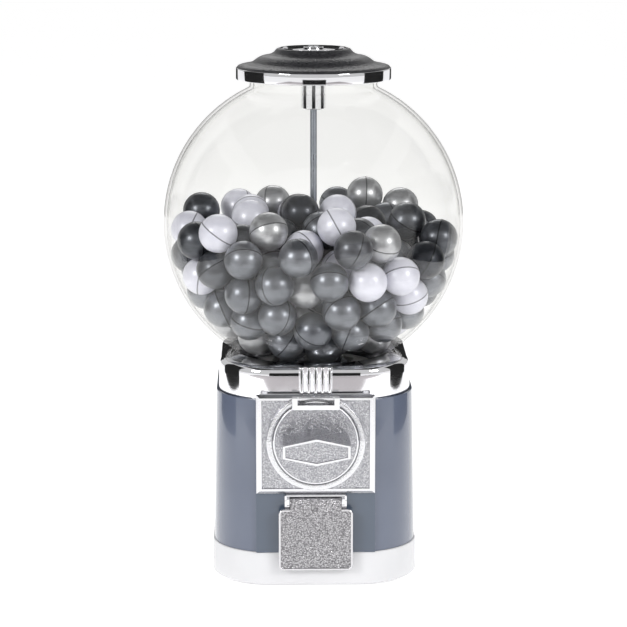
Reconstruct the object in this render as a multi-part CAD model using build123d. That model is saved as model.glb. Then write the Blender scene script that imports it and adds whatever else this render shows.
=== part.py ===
from build123d import *

import math
import os

import numpy as np

# Counter-top gumball machine: clear globe of balls, coin mechanism, flap door and locking lid.
# Frame: +Z up, the front with the coin mechanism faces -Y, origin on the floor under the centre rod.
# All sizes are in millimetres.

# ---- driving dimensions -------------------------------------------------------------------
BALL_R = 16.0
BALL_WALL = 1.2
GLOBE_R = 126.0
GLOBE_WALL = 2.5
GLOBE_Z = 292.0
NECK_R = 52.7
NECK_TOP = 416.0
COLLAR_R = 62.0
COLLAR_BOTTOM = 177.5

CORNER_R = 50.0
SHELL_BOTTOM = 29.0
SHELL_TOP = 158.0
SHELL_HALF_BOTTOM = 84.3
SHELL_TAPER = 1.12
SHELL_WALL = 1.8
PANEL_HALF = 49.0

HOUSING_TOP = 185.0
HOUSING_HALF = 80.0
HOUSING_BOTTOM = 156.0
SKIRT_HALF = 86.0
SKIRT_BOTTOM = 1.5
FLOOR_Z = 9.0
FLOOR_T = 2.0

ROD_R = 2.75
ROD_TOP = 402.0
ROD_BOTTOM = 1.8
RUNNING = 0.08

SHAFT_Z = 124.5
SHAFT_R = 3.5
PINION_TEETH = 10
CROWN_TEETH = 50
PITCH_R = 10.9
CROWN_R = PITCH_R * CROWN_TEETH / PINION_TEETH
PINION_FRONT = -57.0
PINION_BACK = -52.0
ADDENDUM = 1.6
DEDENDUM = 1.9
TOOTH_T = 2.5

POCKETS = 5
POCKET_R = 17.0
POCKET_RING_R = 31.0
WHEEL_R = 57.0
WHEEL_BOTTOM = 141.4
WHEEL_TOP = 169.0
POCKET_FLOOR = 141.0

PLATE_HALF = 48.8
PLATE_BOTTOM = 80.0
PLATE_TOP = 163.5
PLATE_FRONT = -89.0
PLATE_RIM = 4.5
DISC_R = 35.2
DISC_FRONT = -93.0
DISC_BACK = -89.4
RING_R = 40.4
GRIP_FRONT = -125.9
GRIP_HALF = 27.4
GRIP_BASE_HIGH = 12.0
GRIP_FACE_HIGH = 11.1
GRIP_BASE_END = 6.0
GRIP_FACE_END = 5.2
GRIP_RIM = 1.6
SLOT_BOTTOM = 153.0

HINGE_Y = -89.6
HINGE_Z = 74.5
FLAP_FRONT = -93.2
FLAP_BACK = -90.4
FLAP_HALF = 30.6
FLAP_BOTTOM = 16.0
FLAP_TOP = 68.0
FLAP_RIM = 2.0
NECK_HALF = 21.2
PIN_R = 1.5

LID_R = 64.5
LID_BOTTOM = 413.0
LID_BAND_TOP = 422.5
LOCK_BOTTOM = 388.0

BALL_COUNT = 140
BALL_GAP = 0.25
HEAP_FLOOR = 178.0
SETTLE_STEPS = 900

FRONT_PANEL_SLOPE = math.tan(math.radians(SHELL_TAPER))


# ---- helpers --------------------------------------------------------------------------------
def box(x0, x1, y0, y1, z0, z1):
    """Box between two corners."""
    centre = ((x0 + x1) / 2, (y0 + y1) / 2, (z0 + z1) / 2)
    return Pos(*centre) * Box(abs(x1 - x0), abs(y1 - y0), abs(z1 - z0))


def rod_z(radius, z0, z1, x=0.0, y=0.0):
    """Upright cylinder from z0 to z1."""
    return Pos(x, y, (z0 + z1) / 2) * Cylinder(radius, z1 - z0)


def rod_y(radius, y0, y1, x=0.0, z=0.0):
    """Cylinder along Y from y0 to y1."""
    return Pos(x, (y0 + y1) / 2, z) * Rot(90, 0, 0) * Cylinder(radius, y1 - y0)


def rod_x(radius, x0, x1, y=0.0, z=0.0):
    """Cylinder along X from x0 to x1."""
    return Pos((x0 + x1) / 2, y, z) * Rot(0, 90, 0) * Cylinder(radius, x1 - x0)


def turned(points):
    """Solid turned about Z from a closed outline of (radius, z) points."""
    outline = Polyline(*[(r, 0, z) for r, z in points], close=True)
    return revolve(make_face(outline), Axis.Z)


def side_profile(points, half_width):
    """Solid from a closed (y, z) outline, the same width either side of x = 0."""
    outline = Polyline(*[(0, y, z) for y, z in points], close=True)
    return extrude(make_face(outline), half_width, dir=(1, 0, 0), both=True)


def front_profile(points, y_back, y_front):
    """Solid from a closed (x, z) outline, carried along Y from y_back to y_front."""
    outline = Polyline(*[(x, y_back, z) for x, z in points], close=True)
    forward = (0, math.copysign(1, y_front - y_back), 0)
    return extrude(make_face(outline), abs(y_front - y_back), dir=forward)


def rounded_block(half, z0, z1, taper=0.0, corner=CORNER_R):
    """Upright block with a rounded-square plan; half is its half-width at z0."""
    plan = Plane.XY.offset(z0) * RectangleRounded(2 * half, 2 * half, corner)
    return extrude(plan, z1 - z0, taper=taper)


def half_at(z):
    """Half-width of the painted shell at height z."""
    return SHELL_HALF_BOTTOM - (z - SHELL_BOTTOM) * FRONT_PANEL_SLOPE


def on_corners(x, z_or_y):
    """The four places at plus and minus both offsets."""
    return [(sx * x, sy * z_or_y) for sx in (-1, 1) for sy in (-1, 1)]


# ---- base -----------------------------------------------------------------------------------
FEET_AT = 52.0
FOOT_R = 9.0


def base_tray():
    wall = 3.6
    outer = rounded_block(SKIRT_HALF, SKIRT_BOTTOM, SHELL_BOTTOM, taper=1.4, corner=51)
    outer = fillet(outer.edges().group_by(Axis.Z)[0], 2.5)
    outer = fillet(outer.edges().group_by(Axis.Z)[-1], 0.7)
    hollow = rounded_block(SKIRT_HALF - wall, FLOOR_Z + FLOOR_T, SHELL_BOTTOM + 1, taper=1.4, corner=47.4)
    under = rounded_block(SKIRT_HALF - wall, SKIRT_BOTTOM - 1, FLOOR_Z, corner=47.4)
    return outer - hollow - under - rod_z(ROD_R + 0.4, 0, 20)


def rubber_feet():
    foot = rod_z(FOOT_R, 0, FLOOR_Z)
    foot = fillet(foot.edges().group_by(Axis.Z)[0], 1.2)
    return [Pos(x, y, 0) * foot for x, y in on_corners(FEET_AT, FEET_AT)]


def hexagon_nut(across, z0, z1, hole):
    nut = extrude(Plane.XY.offset(z0) * RegularPolygon(across / 2, 6, major_radius=False), z1 - z0)
    return nut - rod_z(hole, z0 - 1, z1 + 1)


def rod_washer():
    return rod_z(9, FLOOR_Z - 1.2, FLOOR_Z) - rod_z(ROD_R + 0.1, 0, 20)


def rod_nut():
    return hexagon_nut(10, FLOOR_Z - 6.2, FLOOR_Z - 1.2, ROD_R + 0.02)


def centre_rod():
    rod = rod_z(ROD_R, ROD_BOTTOM, ROD_TOP)
    groove = rod_z(ROD_R + 1, 393, 395.5) - rod_z(ROD_R - 0.8, 392, 397)
    return chamfer((rod - groove).edges().group_by(Axis.Z)[-1], 0.6)


# ---- painted body ---------------------------------------------------------------------------
def body_shell():
    outer = rounded_block(SHELL_HALF_BOTTOM, SHELL_BOTTOM, SHELL_TOP, SHELL_TAPER)
    inner = rounded_block(
        SHELL_HALF_BOTTOM - SHELL_WALL + FRONT_PANEL_SLOPE, SHELL_BOTTOM - 1, SHELL_TOP + 1,
        SHELL_TAPER, CORNER_R - SHELL_WALL,
    )
    front = box(-PANEL_HALF, PANEL_HALF, -100, -60, SHELL_BOTTOM - 1, SHELL_TOP + 1)
    return outer - inner - front


MECH_HALF = 33.0
MECH_WALL = 2.0
MECH_FRONT = -82.0
MECH_BACK = -62.6
SCREW_R = 1.58
BUSH_R = 5.5
MECH_BOTTOM = 93.0
MECH_TOP = 154.5
CHUTE_HALF_OUT = 21.0
CHUTE_HALF_IN = 19.0


def panel_front(z):
    """Y of the flat front panel's face at height z, just proud of the shell's own front."""
    return -half_at(z) - 0.3


def front_panel():
    face = side_profile(
        [
            (panel_front(SHELL_BOTTOM), SHELL_BOTTOM),
            (panel_front(SHELL_TOP), SHELL_TOP),
            (panel_front(SHELL_TOP) + 2.0, SHELL_TOP),
            (panel_front(SHELL_BOTTOM) + 2.0, SHELL_BOTTOM),
        ],
        PANEL_HALF,
    )
    rail = 4.0
    rails = Part() + [
        box(s * PANEL_HALF, s * (PANEL_HALF - 2), -82.0, -82.0 + rail, SHELL_BOTTOM + 2, 88)
        - box(-99, 99, -99, -82.5, 0, 200)
        for s in (-1, 1)
    ]
    mech = box(-MECH_HALF - 0.5, MECH_HALF + 0.5, -99, -60, MECH_BOTTOM - 0.5, MECH_TOP + 0.5)
    mouth = box(-CHUTE_HALF_OUT - 0.3, CHUTE_HALF_OUT + 0.3, -99, -60, 31.5, 76.3)
    return face + rails - mech - mouth


# ---- chrome top housing and hopper ------------------------------------------------------------
BOWL_IN = 58.0
BOWL_WALL = 2.5
GUTTER_BOTTOM = 131.0
GUTTER_IN = 48.8
SEAT_OUT = 64.8
FLANGE_OUT = 73.0
FLANGE_TOP = 182.4


def globe_housing():
    outer = rounded_block(HOUSING_HALF, HOUSING_BOTTOM, HOUSING_TOP, taper=1.0, corner=49)
    outer = fillet(outer.edges().group_by(Axis.Z)[-1], 5.0)
    inner = rounded_block(HOUSING_HALF - 2.2, HOUSING_BOTTOM - 1, HOUSING_TOP - 2.5, taper=1.0, corner=46.8)
    inner = fillet(inner.edges().group_by(Axis.Z)[-1], 3.4)
    return outer - inner - rod_z(67.3, 170, 200)


def rib_trim():
    """Five upright ribs on a backing strip, over the joint between housing and faceplate."""
    bottom, top = PLATE_TOP + 0.3, HOUSING_TOP + 0.8
    strip = box(-13.6, 13.6, -82.6, -80.1, bottom, top)
    rib = box(-1.7, 1.7, -85.2, -82.0, bottom, top)
    rib = fillet(rib.edges().filter_by(Axis.Z).group_by(Axis.Y)[0], 1.6)
    rib = fillet(rib.edges().group_by(Axis.Z)[-1], 0.6)
    return strip + [Pos(x, 0, 0) * rib for x in (-11.4, -5.7, 0, 5.7, 11.4)]


def hopper_bowl():
    """Bowl that the wheel turns in, with a gutter for its gear and a seat for the globe."""
    bowl = turned(
        [
            (ROD_R + 1.2, POCKET_FLOOR - 3),
            (GUTTER_IN, POCKET_FLOOR - 3),
            (GUTTER_IN, GUTTER_BOTTOM),
            (BOWL_IN + BOWL_WALL, GUTTER_BOTTOM),
            (BOWL_IN + BOWL_WALL, 173.6),
            (SEAT_OUT, 173.6),
            (SEAT_OUT, FLANGE_TOP - 2.4),
            (FLANGE_OUT, FLANGE_TOP - 2.4),
            (FLANGE_OUT, FLANGE_TOP),
            (COLLAR_R + 0.3, FLANGE_TOP),
            (COLLAR_R + 0.3, 176.0),
            (BOWL_IN, 176.0),
            (BOWL_IN, GUTTER_BOTTOM + 2),
            (51.0, GUTTER_BOTTOM + 2),
            (51.0, POCKET_FLOOR),
            (ROD_R + 1.2, POCKET_FLOOR),
        ]
    )
    ball_hole = rod_z(POCKET_R + 0.6, 120, 150, 0, -POCKET_RING_R)
    gear_window = box(-14.5, 14.5, -66, -51.3, 120, 140)
    screw_holes = [rod_z(1.3, 170, 190, x, y) for x, y in on_corners(48.8, 48.8)]
    return bowl - ball_hole - gear_window - screw_holes


def hopper_screws():
    """Screws up through the bowl's flange into the housing deck."""
    screw = rod_z(1.2, FLANGE_TOP - 4.0, FLANGE_TOP + 0.08) + rod_z(2.6, FLANGE_TOP - 4.6, FLANGE_TOP - 2.4)
    return [Pos(x, y, 0) * screw for x, y in on_corners(48.8, 48.8)]


def dispense_guard():
    """Shelf over the pocket that is open to the chute, so that only one ball drops."""
    shelf = rod_z(19.5, 174.2, 176.0, 0, -POCKET_RING_R)
    bridge = box(-19.5, 19.5, -BOWL_IN - 1, -POCKET_RING_R, 174.2, 176.0)
    return (shelf + bridge) & rod_z(BOWL_IN, 170, 180)


# ---- dispensing wheel -------------------------------------------------------------------------
def pocket_places():
    """Centres of the pockets; the first is at the front, over the chute."""
    angles = [math.radians(-90 + 360 / POCKETS * k) for k in range(POCKETS)]
    return [(POCKET_RING_R * math.cos(a), POCKET_RING_R * math.sin(a)) for a in angles]


def dispensing_wheel():
    wheel = rod_z(WHEEL_R, WHEEL_BOTTOM, WHEEL_TOP)
    wheel = fillet(wheel.edges().group_by(Axis.Z)[-1], 2.0)
    hub = turned([(0, WHEEL_TOP - 1), (11, WHEEL_TOP - 1), (6, WHEEL_TOP + 8), (0, WHEEL_TOP + 8)])
    wheel = wheel + hub
    for x, y in pocket_places():
        wheel -= rod_z(POCKET_R, 130, 180, x, y)
    return wheel - rod_z(ROD_R + RUNNING, 130, 190)


def crown_tooth():
    """One radial tooth pointing down, wider at its root, as on a rack of the same pitch."""
    pitch_z = SHAFT_Z + PITCH_R
    lean = math.tan(math.radians(20))
    outline = [
        (TOOTH_T / 2 + DEDENDUM * lean, pitch_z + DEDENDUM + 0.3),
        (TOOTH_T / 2 - ADDENDUM * lean, pitch_z - ADDENDUM),
        (-TOOTH_T / 2 + ADDENDUM * lean, pitch_z - ADDENDUM),
        (-TOOTH_T / 2 - DEDENDUM * lean, pitch_z + DEDENDUM + 0.3),
    ]
    return front_profile(outline, -52.1, -56.9)


def crown_gear():
    pitch_z = SHAFT_Z + PITCH_R
    ring_bottom = pitch_z + DEDENDUM
    ring = rod_z(WHEEL_R, ring_bottom, WHEEL_BOTTOM) - rod_z(51.9, 130, 150)
    step = 360 / CROWN_TEETH
    teeth = [Rot(0, 0, (k + 0.5) * step) * crown_tooth() for k in range(CROWN_TEETH)]
    return ring + teeth


def hollow_ball():
    return Sphere(BALL_R) - Sphere(BALL_R - BALL_WALL)


def pocket_balls():
    z = POCKET_FLOOR + BALL_R + 0.3
    return [Pos(x, y, z) * hollow_ball() for x, y in pocket_places()[1:]]


# ---- coin mechanism -----------------------------------------------------------------------------
def faceplate():
    back_top, back_bottom = panel_front(PLATE_TOP) + 0.1, panel_front(PLATE_BOTTOM) - 0.05
    plate = side_profile(
        [
            (PLATE_FRONT, PLATE_BOTTOM),
            (PLATE_FRONT, PLATE_TOP),
            (panel_front(SHELL_TOP) - 0.05, PLATE_TOP),
            (panel_front(SHELL_TOP) - 0.05, SHELL_TOP),
            (back_bottom, PLATE_BOTTOM),
        ],
        PLATE_HALF,
    )
    plate = chamfer(plate.edges().group_by(Axis.Y)[0], 2.4)
    field = box(
        -PLATE_HALF + PLATE_RIM, PLATE_HALF - PLATE_RIM, PLATE_FRONT - 5, PLATE_FRONT + 0.9,
        PLATE_BOTTOM + PLATE_RIM, PLATE_TOP - PLATE_RIM,
    )
    plate -= field
    low = rod_y(RING_R, -92.4, PLATE_FRONT + 3, 0, SHAFT_Z)
    high = rod_y(RING_R, -94.2, PLATE_FRONT + 3, 0, SHAFT_Z) & box(-60, 60, -99, -80, SHAFT_Z, 200)
    ring = (low + high) & box(-60, 60, -99, -80, PLATE_BOTTOM + 2, PLATE_TOP - 1)
    plate = plate + ring
    plate -= rod_y(DISC_R + 0.4, -99, DISC_BACK + 0.5, 0, SHAFT_Z)
    return plate - rod_y(6.0, -99, -70, 0, SHAFT_Z)


def mouth_lip():
    """Chrome lip under the faceplate, over the chute's mouth."""
    lip = box(-24.5, 24.5, -91.4, -84.9, PLATE_BOTTOM - 1.6, PLATE_BOTTOM - 0.1)
    return fillet(lip.edges().filter_by(Axis.X).group_by(Axis.Y)[0], 0.6)


SLOT_HALF = 19.3
SLOT_FRONT = -97.6
SLOT_TOP = 162.2
SLOT_BAR = 3.8
COIN_HALF = 15.0


def coin_slot():
    """Bracket in front of the turning disc; a coin drops in from above and the disc carries it."""
    foot_top = SLOT_TOP + 0.4
    body = box(-SLOT_HALF, SLOT_HALF, SLOT_FRONT, DISC_FRONT - 0.3, SLOT_BOTTOM, SLOT_TOP)
    body = chamfer(body.edges().filter_by(Axis.Z).group_by(Axis.Y)[0], 1.0)
    foot = box(-SLOT_HALF, SLOT_HALF, SLOT_FRONT, PLATE_FRONT - 0.02, foot_top - 1.4, foot_top)
    foot -= rod_y(DISC_R + 0.6, -99, -80, 0, SHAFT_Z)
    pocket = box(-COIN_HALF, COIN_HALF, SLOT_FRONT + 1.5, DISC_FRONT, SLOT_BOTTOM + 1.7, 170)
    window = box(-COIN_HALF, COIN_HALF, SLOT_FRONT - 1, SLOT_FRONT + 2, SLOT_BOTTOM + SLOT_BAR, 170)
    notches = [Pos(x, -94.6, SLOT_TOP) * Rot(0, 0, 45) * Box(2.2, 2.2, 4) for x in (-9, -4.5, 0, 4.5, 9)]
    return body + foot - pocket - window - notches - faceplate()


def grip_outline(half_width, half_height, end_height):
    """Long six-sided outline round the shaft axis."""
    return [
        (-half_width, SHAFT_Z - end_height),
        (0, SHAFT_Z - half_height),
        (half_width, SHAFT_Z - end_height),
        (half_width, SHAFT_Z + end_height),
        (0, SHAFT_Z + half_height),
        (-half_width, SHAFT_Z + end_height),
    ]


def grip_section(y, half_width, half_height, end_height):
    """Face with the grip's outline, standing at y."""
    corners = [(x, y, z) for x, z in grip_outline(half_width, half_height, end_height)]
    return make_face(Polyline(*corners, close=True))


def turn_handle():
    """Round disc with a raised six-sided grip that narrows towards its face."""
    disc = rod_y(DISC_R, DISC_FRONT, DISC_BACK, 0, SHAFT_Z)
    disc = chamfer(disc.edges().group_by(Axis.Y)[0], 0.5)
    base = grip_section(DISC_FRONT + 0.5, GRIP_HALF, GRIP_BASE_HIGH, GRIP_BASE_END)
    face = grip_section(GRIP_FRONT, GRIP_HALF - 0.2, GRIP_FACE_HIGH, GRIP_FACE_END)
    inner = grip_outline(GRIP_HALF - 0.2 - GRIP_RIM, GRIP_FACE_HIGH - GRIP_RIM, GRIP_FACE_END - GRIP_RIM / 2)
    recess = front_profile(inner, GRIP_FRONT + 0.9, GRIP_FRONT - 2)
    return disc + loft([base, face]) - recess


def handle_shaft():
    return rod_y(SHAFT_R, DISC_BACK + 0.02, PINION_BACK, 0, SHAFT_Z)


def coin_wheel():
    """Disc behind the faceplate whose notch carries one coin through the mechanism."""
    wheel = rod_y(25, -79, -74, 0, SHAFT_Z)
    notch = box(-13, 13, -77.6, -75.4, SHAFT_Z + 6, SHAFT_Z + 30)
    return wheel - notch - rod_y(SHAFT_R + 0.02, -90, -60, 0, SHAFT_Z)


RATCHET_R = 20.0
RATCHET_TEETH = 12


def ratchet_wheel():
    """Saw-toothed wheel that lets the handle turn one way only."""
    points = []
    for k in range(RATCHET_TEETH):
        tip, root = 2 * math.pi * k / RATCHET_TEETH, 2 * math.pi * (k + 0.08) / RATCHET_TEETH
        points.append((RATCHET_R * math.cos(tip), SHAFT_Z + RATCHET_R * math.sin(tip)))
        points.append(((RATCHET_R - 3) * math.cos(root), SHAFT_Z + (RATCHET_R - 3) * math.sin(root)))
    wheel = front_profile(points, -68.0, -72.0)
    return wheel - rod_y(SHAFT_R + 0.02, -90, -60, 0, SHAFT_Z)


PAWL_X = 16.5
PAWL_Z = 148.4
SPRING_X = 23.0
SPRING_LENGTH = 7.6


def ratchet_pawl():
    """Arm that hangs beside the ratchet and rides on its teeth; it stops the handle turning back."""
    tip_angle = math.radians(18)
    tip_x = (RATCHET_R + 0.4) * math.cos(tip_angle)
    tip_z = SHAFT_Z + (RATCHET_R + 0.4) * math.sin(tip_angle)
    arm = front_profile(
        [(PAWL_X - 2.6, PAWL_Z - 1.2), (tip_x, tip_z), (tip_x + 2.6, tip_z + 1.0), (PAWL_X + 2.8, PAWL_Z)],
        -68.4,
        -71.6,
    )
    eye = rod_y(3.2, -71.6, -68.4, PAWL_X, PAWL_Z)
    return arm + eye - rod_y(1.5 + RUNNING, -80, -60, PAWL_X, PAWL_Z)


def pawl_pin():
    return rod_y(1.5, -73.0, -64.6, PAWL_X, PAWL_Z)


def pawl_spring():
    """Coil spring seated on the case wall, as long as it is when the pawl is swung right back."""
    coil = Helix(1.4, SPRING_LENGTH, 1.6)
    section = Plane(origin=coil @ 0, z_dir=coil % 0) * Circle(0.3)
    return Pos(SPRING_X, -70, PAWL_Z - 8) * Rot(0, 90, 0) * sweep(section, path=coil)


def mech_screw_places():
    return [(-27.5, -26.5), (27.5, -26.5), (-27.5, 23.5), (27.5, 23.5)]


def mechanism_case():
    """Open-fronted case behind the faceplate, with the shaft's bearing boss in its back."""
    inside = MECH_HALF - MECH_WALL
    inner_back = MECH_BACK - MECH_WALL
    case = box(-MECH_HALF, MECH_HALF, MECH_FRONT, MECH_BACK, MECH_BOTTOM, MECH_TOP)
    case = fillet(case.edges().filter_by(Axis.Y), 3.0)
    case -= box(-inside, inside, -90, inner_back, MECH_BOTTOM + MECH_WALL, MECH_TOP - MECH_WALL)
    case += rod_y(BUSH_R + 2.5, inner_back - 1.9, inner_back + 0.6, 0, SHAFT_Z)
    coin_exit = box(-MECH_HALF - 1, -12, -79, -66, MECH_BOTTOM - 1, MECH_BOTTOM + 3)
    places = [(x, SHAFT_Z + z) for x, z in mech_screw_places()]
    screws = [rod_y(SCREW_R + 0.02, -90, -60, x, z) for x, z in places]
    posts = [rod_y(3.2, MECH_FRONT, MECH_BACK - 1, x, z) for x, z in places]
    return case + posts - screws - coin_exit - rod_y(BUSH_R, -70, -60, 0, SHAFT_Z)


def mechanism_screws():
    head = rod_y(3.0, MECH_BACK, MECH_BACK + 1.6) - box(-2.6, 2.6, MECH_BACK + 1, -60, -0.4, 0.4)
    screw = rod_y(SCREW_R, MECH_FRONT, MECH_BACK) + head
    return [Pos(x, 0, SHAFT_Z + z) * screw for x, z in mech_screw_places()]


def shaft_bush():
    sleeve = rod_y(BUSH_R, MECH_BACK - 3.9, MECH_BACK + 1, 0, SHAFT_Z)
    bush = sleeve + rod_y(BUSH_R + 1.3, MECH_BACK, MECH_BACK + 1.6, 0, SHAFT_Z)
    return bush - rod_y(SHAFT_R + RUNNING, -90, -50, 0, SHAFT_Z)


def pinion_outline():
    """Involute teeth thinned for backlash: each flank follows r(t) = base circle / cos(t)."""
    base_r = PITCH_R * math.cos(math.radians(20))
    pitch_inv = math.tan(math.radians(20)) - math.radians(20)
    half_tooth = TOOTH_T / 2 / PITCH_R
    points = []
    for k in range(PINION_TEETH):
        centre = math.pi / 2 + 2 * math.pi * k / PINION_TEETH
        flank = []
        for r in (base_r, PITCH_R, PITCH_R + ADDENDUM):
            t = math.acos(min(1.0, base_r / r))
            flank.append((r, half_tooth + pitch_inv - (math.tan(t) - t)))
        flank.insert(0, (PITCH_R - DEDENDUM, flank[0][1]))
        for r, a in flank:
            points.append((r * math.cos(centre - a), SHAFT_Z + r * math.sin(centre - a)))
        for r, a in reversed(flank):
            points.append((r * math.cos(centre + a), SHAFT_Z + r * math.sin(centre + a)))
    return points


def drive_pinion():
    gear = front_profile(pinion_outline(), PINION_BACK, PINION_FRONT)
    collar = rod_y(6.0, -60.6, PINION_FRONT, 0, SHAFT_Z)
    return gear + collar - rod_y(SHAFT_R + 0.02, -90, -50, 0, SHAFT_Z)


# ---- chute, flap and coin box ---------------------------------------------------------------------
CHUTE_FRONT = -84.2
CHUTE_BACK = -9.5
CHUTE_TOP = 137.9
RAMP_LOW = (-50.5, 32.0)
RAMP_HIGH = (CHUTE_BACK, 60.0)
ROOF_HIGH = (-51.0, 84.0)
ROOF_LOW = (-60.0, 76.0)
DUCT_BACK = -11.3
DUCT_FRONT = -49.4
MOUTH_FLOOR = 34.0
MOUTH_ROOF = 74.2


def ball_chute():
    """Upright duct under the wheel that turns forward down a ramp to the mouth, folded from sheet."""
    outer = [
        (CHUTE_FRONT, RAMP_LOW[1]), RAMP_LOW, RAMP_HIGH, (CHUTE_BACK, CHUTE_TOP),
        (ROOF_HIGH[0], CHUTE_TOP), ROOF_HIGH, ROOF_LOW, (CHUTE_FRONT, ROOF_LOW[1]),
    ]
    inner = [
        (-90.0, MOUTH_FLOOR), (-51.2, MOUTH_FLOOR), (DUCT_BACK, 61.2), (DUCT_BACK, 140.0),
        (DUCT_FRONT, 140.0), (DUCT_FRONT, 83.2), (-59.3, MOUTH_ROOF), (-90.0, MOUTH_ROOF),
    ]
    skin = side_profile(outer, CHUTE_HALF_IN) - side_profile(inner, CHUTE_HALF_IN)
    cheek_gap = box(-CHUTE_HALF_IN, CHUTE_HALF_IN, -99, 0, 0, 200)
    cheeks = side_profile(outer, CHUTE_HALF_OUT) - cheek_gap
    bends = {
        "floor": (-90.0, -51.0, 30, 50),
        "ramp": (-51.0, DUCT_BACK, 30, 70),
        "back": (DUCT_BACK, -9.0, 50, 140),
        "front": (-52.0, -49.0, 84.0, 140),
        "slope": (-59.6, -49.0, 72, 84.0),
        "roof": (-90.0, -59.6, 72, 84),
    }
    walls = [skin & box(-40, 40, y0, y1, z0, z1) for y0, y1, z0, z1 in bends.values()]
    gutter_room = box(-40, 40, -80, 0, GUTTER_BOTTOM - 0.4, 145) - rod_z(GUTTER_IN - 0.2, 120, 150)
    return [part - gutter_room for part in [cheeks, *walls]]


def mouth_frame():
    """Frame round the chute's mouth, with the two ears that carry the flap's pin."""
    frame = box(-25.5, 25.5, -88.2, -84.95, 31.0, PLATE_BOTTOM - 1.7)
    frame = fillet(frame.edges().filter_by(Axis.Y).group_by(Axis.Z)[0], 2.5)
    frame -= box(-CHUTE_HALF_IN, CHUTE_HALF_IN, -99, -80, MOUTH_FLOOR, 70.0)
    frame -= box(-NECK_HALF - 0.4, NECK_HALF + 0.4, -99, -80, 66.0, 78.0)
    ear = box(NECK_HALF + 0.5, NECK_HALF + 2.7, -92.2, -86, 70.8, PLATE_BOTTOM - 1.7)
    ear = fillet(ear.edges().filter_by(Axis.X).group_by(Axis.Y)[0], 2.0)
    holes = rod_x(PIN_R, -40, 40, HINGE_Y, HINGE_Z)
    return frame + ear + mirror(ear, Plane.YZ) - holes


def flap_pin():
    return rod_x(PIN_R, -NECK_HALF - 2.7, NECK_HALF + 2.7, HINGE_Y, HINGE_Z)


def flap_door():
    """Cast door: a wide plate with a narrow neck that rolls back round the hinge pin."""
    neck_front = FLAP_FRONT - 0.5
    neck_top = HINGE_Z - 3.5
    neck_foot = FLAP_TOP - 6.0
    plate = box(-FLAP_HALF, FLAP_HALF, FLAP_FRONT, FLAP_BACK, FLAP_BOTTOM, FLAP_TOP)
    plate = fillet(plate.edges().filter_by(Axis.Y), 4.0)
    plate = fillet(plate.edges().group_by(Axis.Y)[0], 0.8)
    field_half = FLAP_HALF - FLAP_RIM
    low, high = FLAP_BOTTOM + FLAP_RIM, FLAP_TOP - FLAP_RIM
    recess = box(-field_half, field_half, FLAP_FRONT - 1, FLAP_FRONT + 0.5, low, high)
    recess = fillet(recess.edges().filter_by(Axis.Y), 2.6)
    neck = box(-NECK_HALF, NECK_HALF, neck_front, FLAP_BACK, neck_foot, neck_top)
    barrel = rod_x(PIN_R + 1.6, -NECK_HALF, NECK_HALF, HINGE_Y, HINGE_Z)
    roll_outline = [
        (neck_front, neck_foot + 4), (neck_front, neck_top), (HINGE_Y - 2.0, HINGE_Z + 2.3),
        (HINGE_Y, HINGE_Z), (FLAP_BACK, neck_foot + 4),
    ]
    roll = side_profile(roll_outline, NECK_HALF)
    inside = NECK_HALF - 1.4
    neck_recess = box(-inside, inside, neck_front - 1, neck_front + 0.5, neck_foot + 1.4, HINGE_Z + 5.5)
    door = plate - recess + neck + roll + barrel - neck_recess
    return door - rod_x(PIN_R + RUNNING, -40, 40, HINGE_Y, HINGE_Z)


def coin_ramp():
    """Sheet under the mechanism that sends coins to the left of the ball chute."""
    top = front_profile([(20, 88.0), (20, 89.2), (-30, 80.4), (-30, 79.2)], -78, -62)
    lip = box(18.8, 20, -78, -62, 88.5, 92.9)
    return top + lip


def coin_box():
    """Open tray for coins, beside the chute on the base floor."""
    outer = box(-66, -24, -54, 54, FLOOR_Z + FLOOR_T + 0.1, 44)
    outer = fillet(outer.edges().filter_by(Axis.Z), 6)
    outer = fillet(outer.edges().group_by(Axis.Z)[0], 2)
    inner = box(-64.2, -25.8, -52.2, 52.2, FLOOR_Z + FLOOR_T + 2, 50)
    inner = fillet(inner.edges().filter_by(Axis.Z), 4.4)
    return outer - inner


# ---- globe, gasket and lid -----------------------------------------------------------------------
def globe_shape(radius, neck_r, collar_r, top, bottom):
    """Sphere with a neck above and a collar below."""
    ball = Pos(0, 0, GLOBE_Z) * Sphere(radius)
    reach = math.sqrt(radius**2 - collar_r**2)
    neck_z = GLOBE_Z + math.sqrt(radius**2 - neck_r**2)
    ball &= box(-200, 200, -200, 200, GLOBE_Z - reach, neck_z + 0.001)
    return ball + rod_z(neck_r, GLOBE_Z + 80, top) + rod_z(collar_r, bottom, GLOBE_Z - 80)


def globe():
    outer = globe_shape(GLOBE_R, NECK_R, COLLAR_R, NECK_TOP, COLLAR_BOTTOM)
    bead = Pos(0, 0, 409.6) * Torus(NECK_R, 0.9)
    inner = globe_shape(
        GLOBE_R - GLOBE_WALL, NECK_R - GLOBE_WALL, COLLAR_R - GLOBE_WALL, NECK_TOP + 5, COLLAR_BOTTOM - 5
    )
    return outer + bead - inner


def globe_gasket():
    return rod_z(COLLAR_R + 0.2, 176.0, COLLAR_BOTTOM) - rod_z(BOWL_IN + 0.6, 170, 180)


def lid_cover():
    """Stepped dome, hollow underneath."""
    outer = [(9.0, 436.4), (27.8, 436.4), (28.6, 438.6), (30.6, 438.6), (34.5, 434.4), (40.5, 432.6), (46.0, 431.2)]
    rim = [(50.5, 427.6), (57.0, 425.2), (62.0, 424.4), (63.6, LID_BAND_TOP + 0.02), (58.6, LID_BAND_TOP + 0.02)]
    inner = [(55.0, 422.6), (48.5, 424.6), (44.0, 428.2), (36.0, 430.0), (28.0, 433.4), (9.0, 433.6)]
    return turned(outer + rim + inner)


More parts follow.
